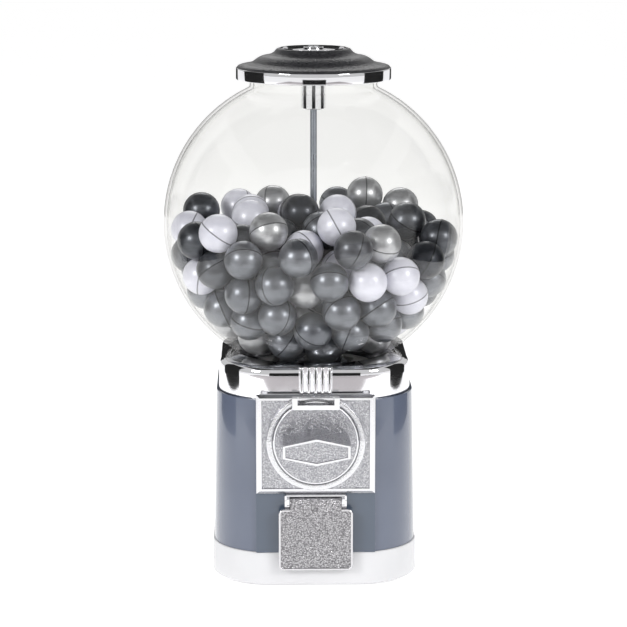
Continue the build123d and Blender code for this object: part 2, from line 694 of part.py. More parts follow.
def lid_band():
    """Plated band round the lid's edge, with a ledge that rests over the globe's neck."""
    band = turned(
        [
            (LID_R, LID_BOTTOM + 0.8), (LID_R, LID_BAND_TOP - 0.8), (LID_R - 0.8, LID_BAND_TOP),
            (LID_R - 6, LID_BAND_TOP), (LID_R - 6, LID_BAND_TOP - 2), (LID_R - 3, LID_BAND_TOP - 3),
            (LID_R - 3, LID_BOTTOM + 1.8), (54.0, LID_BOTTOM + 1.8), (54.0, LID_BOTTOM), (LID_R - 0.8, LID_BOTTOM),
        ]
    )
    return band


def lid_liner():
    """Pressed liner across the lid that carries the seal and sits on the neck."""
    return turned(
        [
            (9.9, 417.6), (58.0, 417.6), (58.0, 416.0 + 0.9), (53.2, 416.9), (9.9, 416.9),
        ]
    )


def lid_seal():
    return rod_z(53.2, 416.05, 416.85) - rod_z(48.6, 410, 420)


def lid_badge():
    """Plated dish on top of the lid with six windows round the lock."""
    profile = [
        (8.8, 437.0), (26.0, 436.5), (27.6, 436.5), (27.6, 438.9), (25.8, 438.9), (24.4, 437.4),
        (8.8, 438.2),
    ]
    dish = turned(profile)
    windows = [Rot(0, 0, 60 * k) * box(13.0, 17.5, -2.2, 2.2, 430, 442) for k in range(6)]
    return dish - windows


LOCK_R = 9.75
LOCK_TOP = 408.0
LOCK_NECK_R = 7.8
LOCK_COLLAR_R = 9.1
LOCK_COLLAR_TOP = 414.0
NUT_BOTTOM = 429.0
NUT_TOP = 433.0
BOSS_TOP = 439.6
BARREL_R = 5.0
BARREL_BOTTOM = 424.4
BARREL_TOP = 440.0


def lock_housing():
    """Plated lock body that hangs under the lid and grips the top of the rod."""
    lower = rod_z(LOCK_R, LOCK_BOTTOM, LOCK_TOP)
    lower = fillet(lower.edges().group_by(Axis.Z)[0], 0.8)
    groove = rod_z(LOCK_R + 2, 400.0, 401.0) - rod_z(LOCK_R - 0.65, 399, 402)
    neck = rod_z(LOCK_NECK_R, LOCK_TOP - 0.1, NUT_TOP + 0.2)
    boss = rod_z(LOCK_NECK_R + 0.8, NUT_TOP + 0.05, BOSS_TOP)
    boss = fillet(boss.edges().group_by(Axis.Z)[-1], 0.8)
    body = lower - groove + neck + boss
    body -= rod_z(ROD_R + RUNNING, LOCK_BOTTOM - 8, ROD_TOP + 2)
    return body - rod_z(BARREL_R + RUNNING, BARREL_BOTTOM - 0.4, BARREL_TOP + 10)


def lock_collar():
    return rod_z(LOCK_COLLAR_R, LOCK_TOP + 0.05, LOCK_COLLAR_TOP) - rod_z(LOCK_NECK_R + 0.1, 400, 420)


def lock_nut():
    return hexagon_nut(22, NUT_BOTTOM, NUT_TOP, LOCK_NECK_R + 0.1)


def lock_barrel():
    """Round barrel with a key slot, turned by the key."""
    barrel = rod_z(BARREL_R, BARREL_BOTTOM, BARREL_TOP)
    barrel = fillet(barrel.edges().group_by(Axis.Z)[-1], 0.4)
    key_slot = box(-0.6, 0.6, -3.2, 3.2, BARREL_TOP - 6, BARREL_TOP + 5)
    return barrel - key_slot - rod_z(1.5, BARREL_TOP - 6, BARREL_TOP + 5)


# ---- balls --------------------------------------------------------------------------------------------
def push_apart(places, spacing):
    """Moves each pair of centres that is closer than spacing apart, half the gap each."""
    away = places[:, None, :] - places[None, :, :]
    distance = np.linalg.norm(away, axis=2) + np.eye(len(places)) * 1e6
    overlap = np.clip(spacing - distance, 0, None)
    return places + (away / distance[..., None] * overlap[..., None]).sum(axis=1) * 0.5


def keep_inside(places, radius):
    """Holds centres inside the globe, off the rod and above the wheel."""
    centre = np.array([0, 0, GLOBE_Z])
    out = places - centre
    length = np.linalg.norm(out, axis=1, keepdims=True)
    reach = GLOBE_R - GLOBE_WALL - radius
    places = centre + out * np.minimum(1.0, reach / length)
    flat = np.linalg.norm(places[:, :2], axis=1, keepdims=True)
    places[:, :2] *= np.maximum(1.0, (ROD_R + radius) / np.maximum(flat, 1e-6))
    places[:, 2] = np.maximum(places[:, 2], HEAP_FLOOR + radius)
    return places


def settled_heap():
    """Centres of the balls after they fall and roll to rest in the globe."""
    random = np.random.default_rng(7)
    radius = BALL_R + BALL_GAP
    places = random.uniform((-70, -70, 230), (70, 70, 380), (BALL_COUNT, 3))
    for step in range(SETTLE_STEPS):
        places[:, 2] -= 1.2 * (1 - step / SETTLE_STEPS) ** 2
        for _ in range(8):
            places = keep_inside(push_apart(places, 2 * radius), radius)
    for _ in range(600):
        places = keep_inside(push_apart(places, 2 * radius), radius)
    return places


# Colours of the balls that show, as letters from left to right: k charcoal, d slate, g grey,
# s silver and w white. The first row lies on top of the heap, the others lie against the front
# of the globe, from the top down.
LETTERS = {
    "k": "balls_charcoal", "d": "balls_slate", "g": "balls_grey", "s": "balls_silver",
    "w": "balls_white",
}
SHARES = {"k": 0.08, "d": 0.15, "g": 0.35, "s": 0.10, "w": 0.32}
TOP_ROW = "wwwskwsww"
FRONT_ROWS = ("dwggddskd", "ddgggdwkd", "wwgggwwwg", "ggggggggg", "sssgggsss")
ROW_TOP = 296.0
ROW_PITCH = 24.0
COLUMN_PITCH = 27.0


def ball_letter(place, random):
    """Letter for one ball: by its row and column if it shows, else by chance."""
    x, y, z = place
    column = int(np.clip(round(x / COLUMN_PITCH + 4), 0, 8))
    row = int(np.clip(round((ROW_TOP - z) / ROW_PITCH), 0, len(FRONT_ROWS) - 1))
    chance = str(random.choice(list(SHARES), p=list(SHARES.values())))
    wall_gap = GLOBE_R - np.linalg.norm(place - np.array([0, 0, GLOBE_Z]))
    if y < 0 and wall_gap < 2 * BALL_R:
        return FRONT_ROWS[row][column]
    return TOP_ROW[column] if z > ROW_TOP else chance


def ball_groups():
    """Balls by colour, one group of separate balls for each."""
    random = np.random.default_rng(3)
    groups = {name: [] for name in LETTERS.values()}
    for place in settled_heap():
        groups[LETTERS[ball_letter(place, random)]].append(Pos(*place) * hollow_ball())
    return groups


# ---- the list of sub-parts -------------------------------------------------------------------------------
PIECES = [
    base_tray, rubber_feet, rod_washer, rod_nut, centre_rod, body_shell, front_panel,
    globe_housing, rib_trim, hopper_bowl, hopper_screws, dispense_guard, dispensing_wheel,
    crown_gear, pocket_balls, faceplate, mouth_lip, coin_slot, turn_handle, handle_shaft,
    coin_wheel, ratchet_wheel, ratchet_pawl, pawl_pin, pawl_spring, mechanism_case,
    mechanism_screws, shaft_bush, drive_pinion, ball_chute, mouth_frame, flap_pin, flap_door,
    coin_ramp, coin_box, globe, globe_gasket, lid_cover, lid_band, lid_liner, lid_seal,
    lid_badge, lock_housing, lock_collar, lock_nut, lock_barrel,
]


def write(name, shape):
    """One STEP file per sub-part, holding its separate solids."""
    parts = shape if isinstance(shape, list) else [shape]
    solids = [solid for part in parts for solid in part.solids()]
    export_step(Compound(children=solids) if len(solids) > 1 else solids[0], f"parts/{name}.step")


def main():
    os.makedirs("parts", exist_ok=True)
    for piece in PIECES:
        write(piece.__name__, piece())
    for name, balls in ball_groups().items():
        write(name, balls)


main()
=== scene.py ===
# %% [markdown]
# # A counter-top gumball machine
#
# A clear globe with a heap of balls stands on a painted body. A handle on the front turns a
# dispensing wheel, and a flap at the bottom lets the ball out. The engineering model holds the
# sizes and the joints. This script gives every part a finish, and the large ones a new surface.
#
# First the model is loaded as a fixed frame.

# %% Load the frame
import math

import bmesh
import bpy
import numpy as np
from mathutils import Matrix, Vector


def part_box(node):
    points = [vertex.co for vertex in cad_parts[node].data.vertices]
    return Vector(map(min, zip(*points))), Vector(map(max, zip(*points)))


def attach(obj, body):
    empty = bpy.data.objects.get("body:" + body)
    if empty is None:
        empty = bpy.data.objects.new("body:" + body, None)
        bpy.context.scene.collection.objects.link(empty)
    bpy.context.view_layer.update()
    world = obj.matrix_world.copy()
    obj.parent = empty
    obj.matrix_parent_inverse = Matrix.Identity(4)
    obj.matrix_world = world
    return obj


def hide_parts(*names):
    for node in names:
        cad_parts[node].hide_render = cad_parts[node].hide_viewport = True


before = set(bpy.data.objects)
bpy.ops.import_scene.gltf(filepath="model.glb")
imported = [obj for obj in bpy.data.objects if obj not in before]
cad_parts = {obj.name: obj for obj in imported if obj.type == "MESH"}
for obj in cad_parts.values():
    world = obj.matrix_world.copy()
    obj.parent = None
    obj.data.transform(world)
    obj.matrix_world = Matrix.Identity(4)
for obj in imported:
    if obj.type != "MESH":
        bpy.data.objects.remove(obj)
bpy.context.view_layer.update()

# %% [markdown]
# ## Sizes
#
# Shapes are worked out in millimetres and turned into metres when the mesh is made. The outer
# sizes come from the frame, and the smaller ones are typed here to follow the engineering part.

# %% Places read from the frame
MM = 0.001


def span(node):
    """Lowest and highest corner of an engineering part, in millimetres."""
    low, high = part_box(node)
    return np.array(low) / MM, np.array(high) / MM


GLOBE_LOW, GLOBE_HIGH = span("globe")
GLOBE_R = (GLOBE_HIGH[0] - GLOBE_LOW[0]) / 2
GLOBE_Z = 292.0
HANDLE_LOW, HANDLE_HIGH = span("turn_handle")
HANDLE_Z = (HANDLE_LOW[2] + HANDLE_HIGH[2]) / 2
PLATE_LOW, PLATE_HIGH = span("faceplate")
print("globe radius", round(GLOBE_R, 1), "handle axis at", round(HANDLE_Z, 1), "mm")

# %% [markdown]
# ## Surfaces from two parameters
#
# Almost every part of this machine is one outline carried through a profile. The globe, the lid
# and the knob's disc use a circle. The housing, the body and the skirt use a square with round
# corners. Modelling these by hand would mean many loop cuts, so the grid of points is worked out
# with numpy: one parameter runs round the outline, and the other runs along the profile.

# %% Outlines
def circle(count=144, centre=(0.0, 0.0), start=0.0, turn=360.0):
    """Core points and outward directions round a circle: the core stays at the centre and the
    direction is (cos a, sin a), with a from start through turn degrees."""
    whole = turn == 360.0
    angle = np.radians(start + turn * np.linspace(0, 1, count, endpoint=not whole))
    return np.tile(centre, (count, 1)), np.stack([np.cos(angle), np.sin(angle)], axis=1)


def round_square(core_a, core_b, centre=(0.0, 0.0), steps=14, hold=1.5, gap=0.0):
    """Square with round corners: each core corner is held while the direction turns through 90
    degrees. Points held a little way along each side keep the flat sides flat when shaded. With
    a gap, the outline is left open for that width in the middle of its front side."""
    quarter = np.radians(90 * np.linspace(0, 1, steps))
    quarter = np.concatenate([quarter[:1], quarter, quarter[-1:]])
    slide = np.zeros(steps + 2)
    slide[0], slide[-1] = -hold, hold
    start = np.radians([-90, 0, 90, 180])[:, None]
    angle = (start + quarter).ravel()
    out = np.stack([np.cos(angle), np.sin(angle)], axis=1)
    along = np.stack([-out[:, 1], out[:, 0]], axis=1)
    corners = np.array([[1, -1], [1, 1], [-1, 1], [-1, -1]]) * (core_a, core_b)
    core = np.repeat(corners, steps + 2, axis=0) + along * np.tile(slide, 4)[:, None]
    if gap:
        ends = np.array([[gap / 2, -core_b], [-gap / 2, -core_b]])
        front = np.array([[0.0, -1.0]])
        core = np.concatenate([ends[:1], core, ends[1:]])
        out = np.concatenate([front, out, front])
    return core + np.array(centre), out


def sharp_square(half_a, half_b, centre=(0.0, 0.0)):
    """Square with sharp corners: each corner moves outwards along both of its sides at once."""
    out = np.array([[-1.0, -1], [1, -1], [1, 1], [-1, 1]])
    return out * (half_a, half_b) + np.array(centre), out


def carry(outline, profile):
    """Grid of points: for each (reach, height) of the profile, core + reach x direction, at that
    height. Rows follow the profile and columns follow the outline."""
    core, out = outline
    reach, height = np.array(profile, float).T
    flat = core[None] + reach[:, None, None] * out[None]
    high = np.broadcast_to(height[:, None, None], flat.shape[:2] + (1,))
    return np.concatenate([flat, high], axis=2)


def facing_front(points):
    """Tips a grid forwards: its height becomes distance towards the front, and its second
    coordinate becomes height."""
    return np.stack([points[..., 0], -points[..., 2], points[..., 1]], axis=-1)


print("outline points:", len(circle()[0]), len(round_square(30, 30)[0]))

# %% [markdown]
# A turned or cast part has no perfectly sharp corner. Two helpers round a profile: one cuts each
# corner with a small curve, and the other irons a long flowing line such as the lid's dome.

# %% Profiles
def soften(points, radius, steps=4):
    """Closed profile with each corner P replaced by the curve (1-t)^2 S + 2t(1-t) P + t^2 E,
    where S and E lie on its two sides, radius away from P or 45% of the side, if less."""
    points = np.array(points, float)
    back = np.roll(points, 1, axis=0) - points
    on = np.roll(points, -1, axis=0) - points
    lengths = [np.linalg.norm(side, axis=1, keepdims=True) for side in (back, on)]
    start = points + back / lengths[0] * np.minimum(radius, 0.45 * lengths[0])
    end = points + on / lengths[1] * np.minimum(radius, 0.45 * lengths[1])
    t = np.linspace(0, 1, steps)[None, :, None]
    curve = (1 - t) ** 2 * start[:, None] + 2 * t * (1 - t) * points[:, None] + t**2 * end[:, None]
    return curve.reshape(-1, 2)


def iron(points, step=0.8, passes=6):
    """Open profile cut into equal steps, then each point moved to the mean of itself and its two
    neighbours, several times. The two ends stay where they are."""
    points = np.array(points, float)
    along = np.concatenate([[0], np.cumsum(np.linalg.norm(np.diff(points, axis=0), axis=1))])
    even = np.linspace(0, along[-1], int(along[-1] / step) + 2)
    line = np.stack([np.interp(even, along, column) for column in points.T], axis=1)
    for _ in range(passes):
        line[1:-1] = (line[:-2] + line[1:-1] + line[2:]) / 3
    return line


print("a softened square profile has", len(soften([(0, 0), (1, 0), (1, 1), (0, 1)], 0.2)), "points")

# %% [markdown]
# One function turns grids into a finished piece. It joins neighbouring points with quads, closes
# the open ends with flat faces, welds the seams, points the normals outwards, and marks edges
# sharper than 35 degrees. A value called polish is stored on every point, so that a finish can
# tell a polished rim from a hammered field.

# %% Grids to pieces
SHARP = math.radians(35)


def grid(points, loop=False, ring=True, polish=0.0):
    """One grid. loop closes it along the profile, ring closes it round the outline, and polish
    is one value or one value for each row."""
    points = np.asarray(points, float)
    rows = np.broadcast_to(np.asarray(polish, float), points.shape[:1])
    return points, loop, ring, np.repeat(rows, points.shape[1])


def grid_faces(shape, loop, ring):
    """Corner numbers of the quads between neighbouring rows and columns, and of the end caps."""
    index = np.arange(shape[0] * shape[1]).reshape(shape[:2])
    index = np.vstack([index, index[:1]]) if loop else index
    index = np.hstack([index, index[:, :1]]) if ring else index
    quads = np.stack([index[:-1, :-1], index[:-1, 1:], index[1:, 1:], index[1:, :-1]], axis=-1)
    caps = []
    if ring and not loop:
        caps = [index[0, :-1][::-1], index[-1, :-1]]
    if loop and not ring:
        caps = [index[:-1, 0], index[:-1, -1][::-1]]
    return quads.reshape(-1, 4).tolist() + [cap.tolist() for cap in caps]


def piece(name, grids, body, finish, stands_for=(), bevel=0.0, turn_out=True):
    """Mesh from grids, finished, riding on its body and standing for its engineering parts. A
    grid whose faces already point outwards is left alone when turn_out is off."""
    corners, faces, polish, used = [], [], [], 0
    for points, loop, ring, shine in grids:
        faces += [[used + k for k in face] for face in grid_faces(points.shape, loop, ring)]
        corners.append(points.reshape(-1, 3) * MM)
        polish.append(shine)
        used += points.shape[0] * points.shape[1]
    mesh = bpy.data.meshes.new(name)
    mesh.from_pydata(np.concatenate(corners), [], faces)
    mesh.attributes.new("polish", "FLOAT", "POINT").data.foreach_set("value", np.concatenate(polish))
    shell = bmesh.new()
    shell.from_mesh(mesh)
    bmesh.ops.remove_doubles(shell, verts=shell.verts, dist=1e-6)
    if turn_out:
        bmesh.ops.recalc_face_normals(shell, faces=shell.faces)
    shell.to_mesh(mesh)
    shell.free()
    mesh.polygons.foreach_set("use_smooth", np.ones(len(mesh.polygons), bool))
    mesh.set_sharp_from_angle(angle=SHARP)
    mesh.materials.append(finish)
    made = bpy.data.objects.new(name, mesh)
    bpy.context.scene.collection.objects.link(made)
    if bevel:
        edge = made.modifiers.new("edge", "BEVEL")
        edge.width, edge.segments = bevel * MM, 3
        edge.limit_method, edge.angle_limit = "ANGLE", SHARP
        edge.harden_normals = True
    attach(made, body)
    if stands_for:
        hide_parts(*stands_for)
    print(f"{name}: {len(mesh.vertices)} points, {len(mesh.polygons)} faces")
    return made


# %% [markdown]
# ## Writing finishes as sums
#
# A material is a tree of nodes. Drawing it in Python is easier to read when an output can be
# added and multiplied like a number, so a small class wraps one output, and each sum adds its
# Math node. Every other node comes from one method.

# %% The socket and the finish
class Socket:
    """One output of a shader node. Sums and products of it add Math nodes."""

    def __init__(self, finish, out):
        self.finish, self.out = finish, out

    def math(self, operation, *others):
        return self.finish.node(
            "ShaderNodeMath", {"operation": operation}, dict(enumerate((self, *others)))
        )

    def __add__(self, other):
        return self.math("ADD", other)

    def __mul__(self, other):
        return self.math("MULTIPLY", other)

    def __rsub__(self, other):
        return self * -1 + other

    def __pow__(self, other):
        return self.math("POWER", other)

    __radd__, __rmul__ = __add__, __mul__

    def between(self, low, high):
        """0 at low, 1 at high, and held there beyond."""
        return self.finish.node("ShaderNodeMapRange", {}, {0: self, 1: low, 2: high})


class Finish:
    """A material and the nodes that describe its surface."""

    def __init__(self, name):
        self.material = bpy.data.materials.new(name)
        self.material.use_nodes = True
        self.tree = self.material.node_tree
        self.tree.nodes.clear()
        self.place = self.node("ShaderNodeTexCoord", output="Object")

    def node(self, kind, settings=None, inputs=None, output=0):
        """Adds a node, sets its settings, then feeds its sockets with values or links."""
        made = self.tree.nodes.new(kind)
        for key, value in (settings or {}).items():
            setattr(made, key, value)
        for key, value in (inputs or {}).items():
            if isinstance(value, Socket):
                self.tree.links.new(value.out, made.inputs[key])
            else:
                made.inputs[key].default_value = value
        return Socket(self, made.outputs[output]) if len(made.outputs) else made

    def noise(self, scale, detail=2.0, rough=0.5, place=None):
        """Cloudy pattern with about scale patches to the metre."""
        return self.node(
            "ShaderNodeTexNoise", {},
            {"Vector": place or self.place, "Scale": scale, "Detail": detail, "Roughness": rough},
        )

    def cells(self, scale):
        """Distance to the nearest of many scattered points, which gives rounded pits."""
        return self.node(
            "ShaderNodeTexVoronoi", {"feature": "SMOOTH_F1"},
            {"Vector": self.place, "Scale": scale, "Smoothness": 0.6},
        )

    def stretched(self, scale):
        """The place on the part, stretched along its axes."""
        return self.node("ShaderNodeMapping", {}, {"Vector": self.place, "Scale": scale})

    def blend(self, factor, first, second):
        """Colour that goes from first to second as factor goes from 0 to 1."""
        first, second = [c if isinstance(c, Socket) else (*c, 1) for c in (first, second)]
        return self.node("ShaderNodeMix", {"data_type": "RGBA"}, {0: factor, 6: first, 7: second}, 2)

    def polish(self):
        """The polish stored on the points of a piece."""
        return self.node("ShaderNodeAttribute", {"attribute_name": "polish"}, output="Fac")

    def bump(self, height, depth, strength=1.0):
        """Normal for a relief of the given depth in millimetres."""
        return self.node(
            "ShaderNodeBump", {},
            {"Height": height, "Distance": depth * MM, "Strength": strength}, "Normal",
        )

    def surface(self, sockets):
        """Principled surface with these sockets set, as the material's output."""
        shader = self.node("ShaderNodeBsdfPrincipled", {}, sockets)
        self.node("ShaderNodeOutputMaterial", {}, {"Surface": shader})
        return self.material


print("finishes are ready to write")

# %% [markdown]
# ## Pearl plastic
#
# The balls look like coloured plastic with a pearl sheen: faint swirls, and a satin skin that
# shows lamps as wide soft spots. What they are made of is a guess. A high metallic share with a
# thin clear coat gives that look. A swirl is a noise stretched along one direction, with a second
# noise added. The polish value marks the parting line, which is drawn darker than the ball.

# %% Pearl finishes
def pearl(name, dark, light, metal):
    paint = Finish(name)
    bend = paint.noise(45, 2)
    swirl = paint.noise(60, 3, 0.6, paint.stretched((1, 1, 3.2))) + bend * 0.35
    fine = paint.noise(900, 2, 0.6)
    scuff = paint.noise(260, 4, 0.7).between(0.58, 0.72)
    line = paint.polish()
    skin = paint.blend(swirl.between(0.45, 0.85), dark, light)
    return paint.surface({
        "Base Color": paint.blend(line, skin, tuple(0.30 * c for c in dark)),
        "Roughness": 0.31 + fine * 0.06 + scuff * 0.08 + line * 0.2,
        "Metallic": metal,
        "Coat Weight": 0.25,
        "Coat Roughness": 0.16,
        "Normal": paint.bump(fine + scuff * 0.4, 0.05, 0.35),
    })


PEARLS = {
    "balls_charcoal": pearl("charcoal_pearl", (0.022, 0.024, 0.030), (0.050, 0.054, 0.066), 0.7),
    "balls_slate": pearl("slate_pearl", (0.072, 0.076, 0.087), (0.126, 0.133, 0.149), 0.75),
    "balls_grey": pearl("grey_pearl", (0.138, 0.146, 0.166), (0.212, 0.223, 0.248), 0.75),
    "balls_silver": pearl("silver_pearl", (0.38, 0.385, 0.40), (0.52, 0.525, 0.54), 0.7),
    "balls_white": pearl("white_pearl", (0.64, 0.64, 0.73), (0.74, 0.74, 0.82), 0.1),
}
print("pearl finishes:", sorted(PEARLS))

# %% [markdown]
# ## Metals
#
# Chrome plate shows the room, so its roughness stays near zero, with faint finger marks and
# polishing lines that only show in the highlights. The coin mechanism looks like a casting with
# smooth raised rims and a hammered field of shallow pits about a millimetre wide. Two cell
# patterns of different size make the pits.

# %% Chrome and castings
def chrome(name, colour=(0.86, 0.86, 0.88)):
    paint = Finish(name)
    smear = paint.noise(38, 4, 0.65).between(0.5, 0.8)
    lines = paint.noise(700, 2, 0.6, paint.stretched((0.05, 0.05, 1)))
    return paint.surface({
        "Base Color": paint.blend(smear, colour, tuple(0.94 * c for c in colour)),
        "Metallic": 1.0,
        "Roughness": 0.035 + smear * 0.07 + lines * 0.02,
        "Normal": paint.bump(lines, 0.01, 0.12),
    })


def hammered(name, colour, pit_colour, metal, rough, depth, scale):
    """Pits are the cells' distance, mixed with a smaller set of cells. Rims with a polish of 1
    stay smooth."""
    paint = Finish(name)
    polish = paint.polish()
    wander = paint.noise(240, 2)
    pits = paint.cells(scale) * 0.7 + paint.cells(scale * 2.1) * 0.3 + wander * 0.25
    field = 1 - polish.between(0, 1)
    relief = pits.between(0.2, 0.8)
    grime = paint.noise(55, 4, 0.6).between(0.45, 0.8)
    return paint.surface({
        "Base Color": paint.blend((relief * field).between(0.15, 0.95), colour, pit_colour),
        "Metallic": metal,
        "Roughness": rough + relief * field * 0.16 + grime * 0.05,
        "Normal": paint.bump(relief * field * -1, depth, 0.9),
    })


CHROME = chrome("chrome_plate")
CASTING = hammered("hammered_casting", (0.78, 0.78, 0.80), (0.36, 0.36, 0.39), 1.0, 0.17, 0.34, 860)
FLAP_CASTING = hammered("coarse_casting", (0.70, 0.69, 0.71), (0.20, 0.195, 0.205), 1.0, 0.17, 0.42, 760)
POLISHED = chrome("polished_casting", (0.74, 0.74, 0.76))
LID_DARK, LID_PIT = (0.006, 0.006, 0.008), (0.035, 0.035, 0.038)
LID_BLACK = hammered("black_hammer_paint", LID_DARK, LID_PIT, 0.0, 0.20, 0.45, 700)
print("metals:", CHROME.name, CASTING.name, LID_BLACK.name)

# %% [markdown]
# ## Paint, plastic and the clear globe
#
# Enamel is glossy but never quite flat: it has a fine orange peel. The skirt is a white moulding,
# a little less glossy. The globe is taken to be clear plastic. Bending every ray through a thin
# wall is slow and hardly seen, so its finish lets light straight through and mirrors a share that
# grows towards the edge, where a long way through the wall also darkens it.

# %% Enamel, plastic and clear wall
def enamel(name, dark, light, peel=0.02, rough=0.16, coat=0.8):
    paint = Finish(name)
    drift = paint.noise(14, 3, 0.55)
    skin = paint.noise(330, 2, 0.5)
    dust = paint.noise(1500, 2, 0.6).between(0.66, 0.74)
    return paint.surface({
        "Base Color": paint.blend(drift.between(0.3, 0.7), dark, light),
        "Roughness": rough + drift * 0.05 + dust * 0.06,
        "Coat Weight": coat,
        "Coat Roughness": 0.04,
        "Normal": paint.bump(skin + dust * 0.3, peel, 0.5),
    })


def clear_wall(name):
    paint = Finish(name)
    facing = paint.node("ShaderNodeLayerWeight", {}, {"Blend": 0.5}, "Facing")
    smear = paint.noise(22, 4, 0.6).between(0.5, 0.9)
    mirror_share = facing ** 5 * 0.45 + 0.025 + smear * 0.004
    through = paint.node("ShaderNodeBsdfTransparent", {}, {"Color": (0.985, 0.985, 0.98, 1)})
    edge = paint.node("ShaderNodeBsdfTransparent", {}, {"Color": (0.62, 0.61, 0.60, 1)})
    wall = paint.node("ShaderNodeMixShader", {}, {0: facing ** 9, 1: through, 2: edge})
    mirror = paint.node("ShaderNodeBsdfGlossy", {}, {"Color": (1, 1, 1, 1), "Roughness": 0.02})
    both = paint.node("ShaderNodeMixShader", {}, {0: mirror_share, 1: wall, 2: mirror})
    paint.node("ShaderNodeOutputMaterial", {}, {"Surface": both})
    return paint.material


BODY_PAINT = enamel("grey_blue_enamel", (0.098, 0.116, 0.168), (0.116, 0.136, 0.190))
# The front panel gets a darker copy of the body's enamel: painted shade on its flat front.
SHADED_PANEL_PAINT = enamel("grey_blue_enamel_painted_shade", (0.062, 0.082, 0.118), (0.074, 0.096, 0.134))
SKIRT_WHITE = enamel("white_gloss", (0.66, 0.66, 0.675), (0.71, 0.71, 0.725), 0.012, 0.22, 0.4)
CLEAR = clear_wall("clear_plastic")
print("finishes so far:", len(bpy.data.materials))

# %% [markdown]
# ## The balls
#
# The balls lie where the engineering model has them. Its meshes are loose triangles, so the
# places are found by welding equal corners and giving each corner the lowest number that it is
# joined to, again and again, until every ball has one number of its own. The middle of each
# ball's box is its centre.

# %% Where the balls lie
def ball_centres(node, least=30.0):
    """Centres in millimetres of the separate round solids in a part, inner walls left out."""
    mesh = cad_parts[node].data
    places = np.zeros(len(mesh.vertices) * 3)
    mesh.vertices.foreach_get("co", places)
    mesh.calc_loop_triangles()
    sides = np.zeros(len(mesh.loop_triangles) * 3, int)
    mesh.loop_triangles.foreach_get("vertices", sides)
    spots, number = np.unique(np.round(places.reshape(-1, 3) / MM, 3), axis=0, return_inverse=True)
    sides = number.ravel()[sides].reshape(-1, 3)
    label = np.arange(len(spots))
    while True:
        lowest = label[sides].min(axis=1)
        lower = label.copy()
        np.minimum.at(lower, sides.ravel(), np.repeat(lowest, 3))
        if (lower == label).all():
            break
        label = lower
    names, owner = np.unique(label, return_inverse=True)
    low, high = np.full((len(names), 3), 1e9), np.full((len(names), 3), -1e9)
    np.minimum.at(low, owner.ravel(), spots)
    np.maximum.at(high, owner.ravel(), spots)
    whole = (high - low).min(axis=1) > least
    return (low + high)[whole] / 2


centres = {node: ball_centres(node) for node in [*PEARLS, "pocket_balls"]}
print({node: len(found) for node, found in centres.items()})

# %% [markdown]
# A fine line runs round each ball, as on a ball moulded in two halves. A small pinch mark is
# given to both poles, which is a guess. Both are real relief here. The ball is a grid of
# longitude and latitude whose radius changes a little near the equator and at the poles, and
# every ball is turned a different way. The random numbers have a seed, so the heap is the same
# each time.

# %% Balls with parting lines
BALL_R = 16.0
SEAM_HIGH, SEAM_WIDE = 0.15, math.radians(2.0)
PINCH_DEEP, PINCH_WIDE = 0.35, math.radians(7.0)


def ball_surface(around=30):
    """Radius R + a exp(-(lat/w)^2) - b exp(-(polar/p)^2) over longitude and latitude."""
    near_seam = np.radians([-5, -2.6, -1.5, 1.5, 2.6, 5])
    rest = np.radians([-90, -86, -82, -76, -68, -58, -46, -34, -22, -12])
    latitude = np.concatenate([rest, near_seam, -rest[::-1]])
    polar = math.pi / 2 - np.abs(latitude)
    radius = (
        BALL_R - SEAM_HIGH
        + SEAM_HIGH * np.exp(-((latitude / SEAM_WIDE) ** 2))
        - PINCH_DEEP * np.exp(-((polar / PINCH_WIDE) ** 2))
    )
    core, out = circle(around)
    return carry((core, out), np.stack([radius * np.cos(latitude), radius * np.sin(latitude)], axis=1))


def random_turns(count, chance):
    """Turning matrices from random unit quaternions."""
    quaternion = chance.normal(size=(count, 4))
    w, x, y, z = (quaternion / np.linalg.norm(quaternion, axis=1, keepdims=True)).T
    return np.stack([
        np.stack([1 - 2 * (y * y + z * z), 2 * (x * y - z * w), 2 * (x * z + y * w)], axis=1),
        np.stack([2 * (x * y + z * w), 1 - 2 * (x * x + z * z), 2 * (y * z - x * w)], axis=1),
        np.stack([2 * (x * z - y * w), 2 * (y * z + x * w), 1 - 2 * (x * x + y * y)], axis=1),
    ], axis=1)


def balls(name, places, body, finish, stands_for, chance):
    shape = ball_surface()
    turned = np.einsum("bij,klj->bkli", random_turns(len(places), chance), shape)
    placed = turned + places[:, None, None, :]
    line = np.zeros(shape.shape[0])
    middle = len(line) // 2
    line[middle - 1:middle + 1] = 1.0
    grids = [grid(ball, polish=line) for ball in placed]
    return piece(name, grids, body, finish, [stands_for], turn_out=False)


chance = np.random.default_rng(11)
for node, finish in PEARLS.items():
    balls(node.replace("balls_", "heap_"), centres[node], "cabinet", finish, node, chance)
balls("carried_balls", centres["pocket_balls"], "wheel", PEARLS["balls_grey"],
      "pocket_balls", chance)

# %% [markdown]
# ## The globe
#
# The globe is one shell: a sphere with a short neck for the lid and a collar that drops
# into the hopper. Its profile is the outer line from collar to neck, then the inner line back,
# carried round a circle.

# %% The clear globe
WALL = 2.5
NECK_R, NECK_TOP = 52.7, GLOBE_HIGH[2]
COLLAR_R, COLLAR_LOW = 62.0, GLOBE_LOW[2]


def globe_line(radius, neck, collar, bead):
    """Collar, sphere and neck as one open line: r = R cos(p), z = Z + R sin(p) between them."""
    low, high = -math.acos(collar / radius), math.acos(neck / radius)
    p = np.linspace(low, high, 90)
    sphere = np.stack([radius * np.cos(p), GLOBE_Z + radius * np.sin(p)], axis=1)
    collar_line = [(collar, COLLAR_LOW)]
    neck_line = [(neck, 408.2), (neck + bead, 409.0), (neck + bead, 410.2), (neck, 411.0), (neck, NECK_TOP)]
    return iron(np.concatenate([collar_line, sphere, neck_line]), 1.0, 5)


